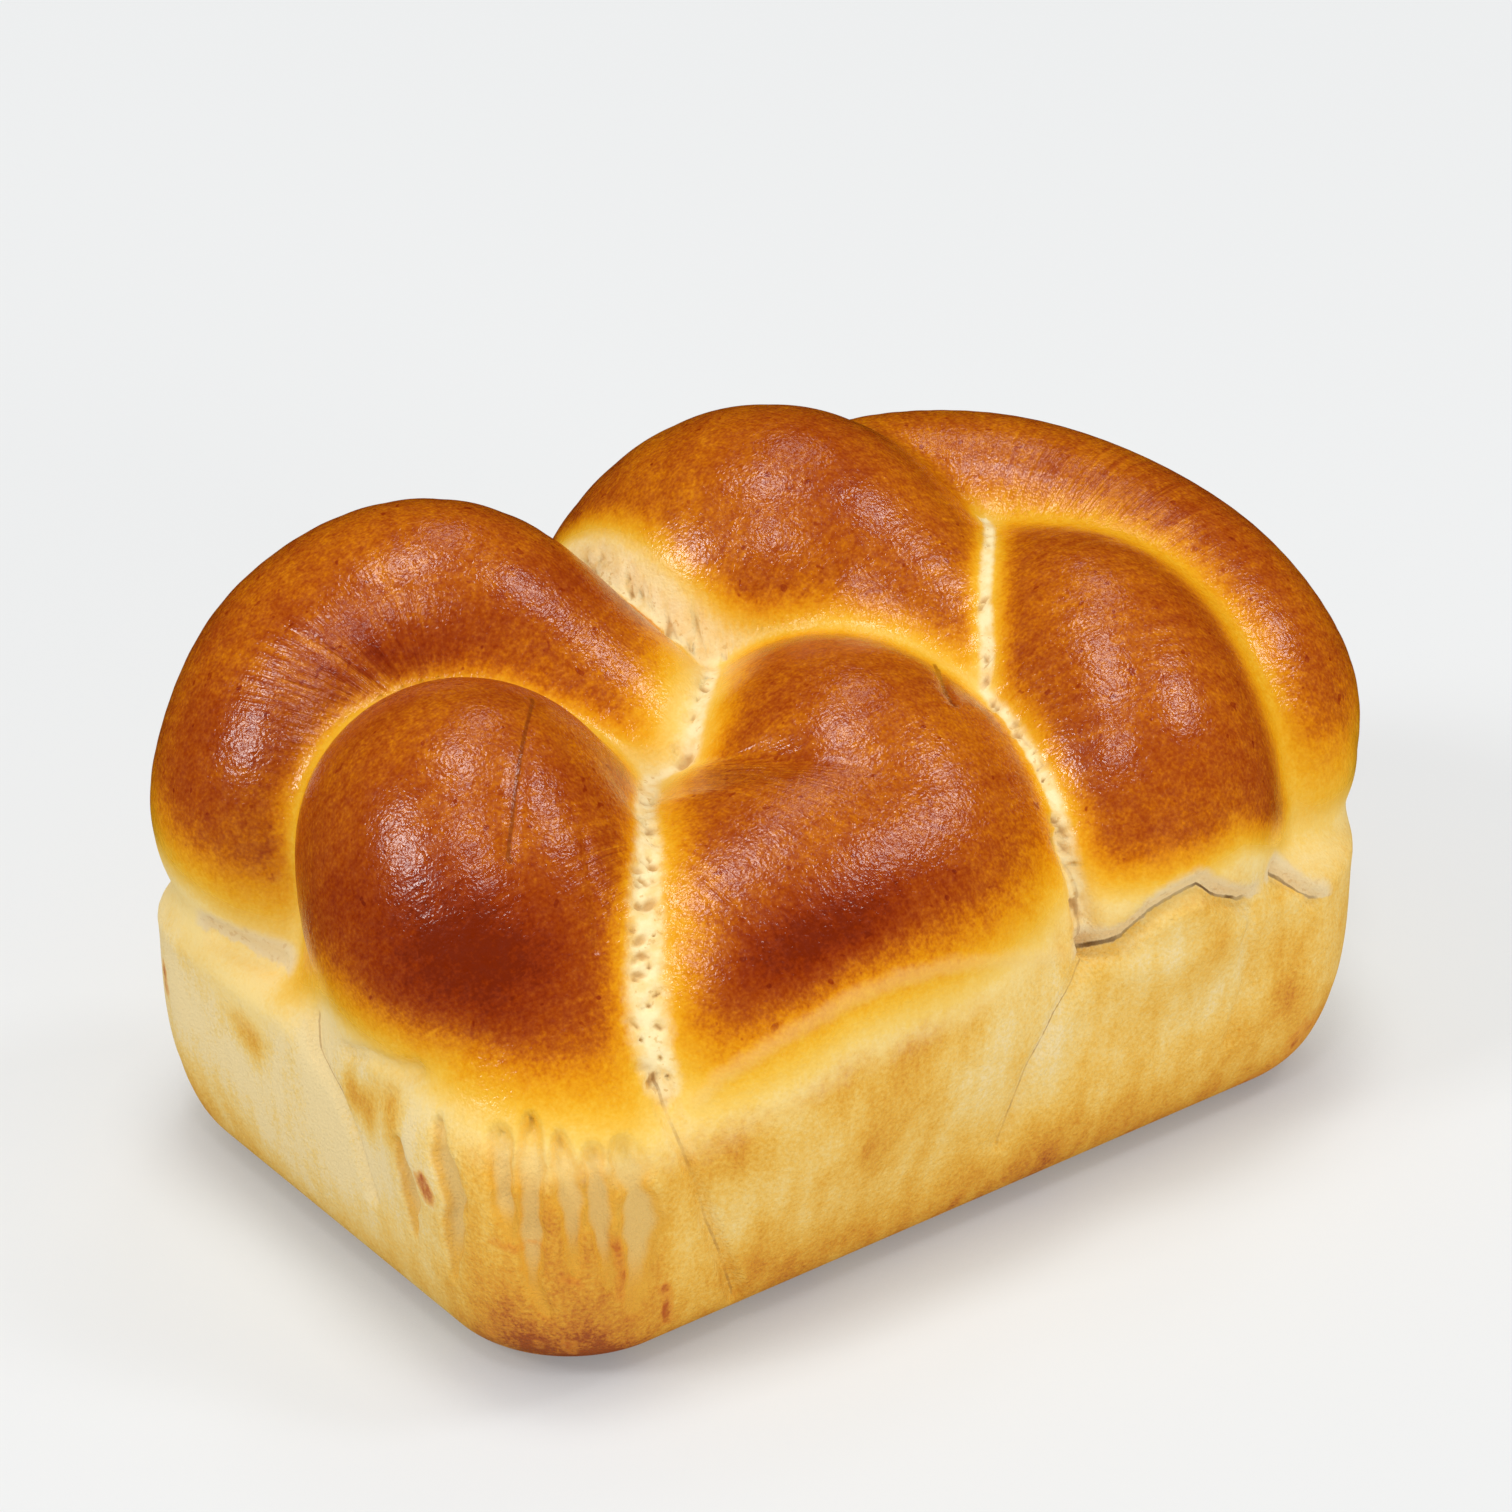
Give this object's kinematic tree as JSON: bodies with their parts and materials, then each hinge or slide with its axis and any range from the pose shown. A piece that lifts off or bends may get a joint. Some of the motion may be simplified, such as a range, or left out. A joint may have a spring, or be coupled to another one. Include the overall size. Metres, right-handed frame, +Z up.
{
  "type": "braided spelt loaf",
  "caption": "Plaited spelt loaf baked in an oblong tin: plump glossy strand ends in two rows over a flat-sided, flared base.",
  "frame": {"origin": "middle of the outline's box at the flat underside", "axes": "+X along the loaf's length, +Z up, -Y the front long side with the small front lobe at its -X end"},
  "size_m": [0.2144, 0.1482, 0.1138],
  "materials": {
    "crust": "satin"
  },
  "bodies": {
    "root": {"loaf": "crust"}
  },
  "joints": []
}
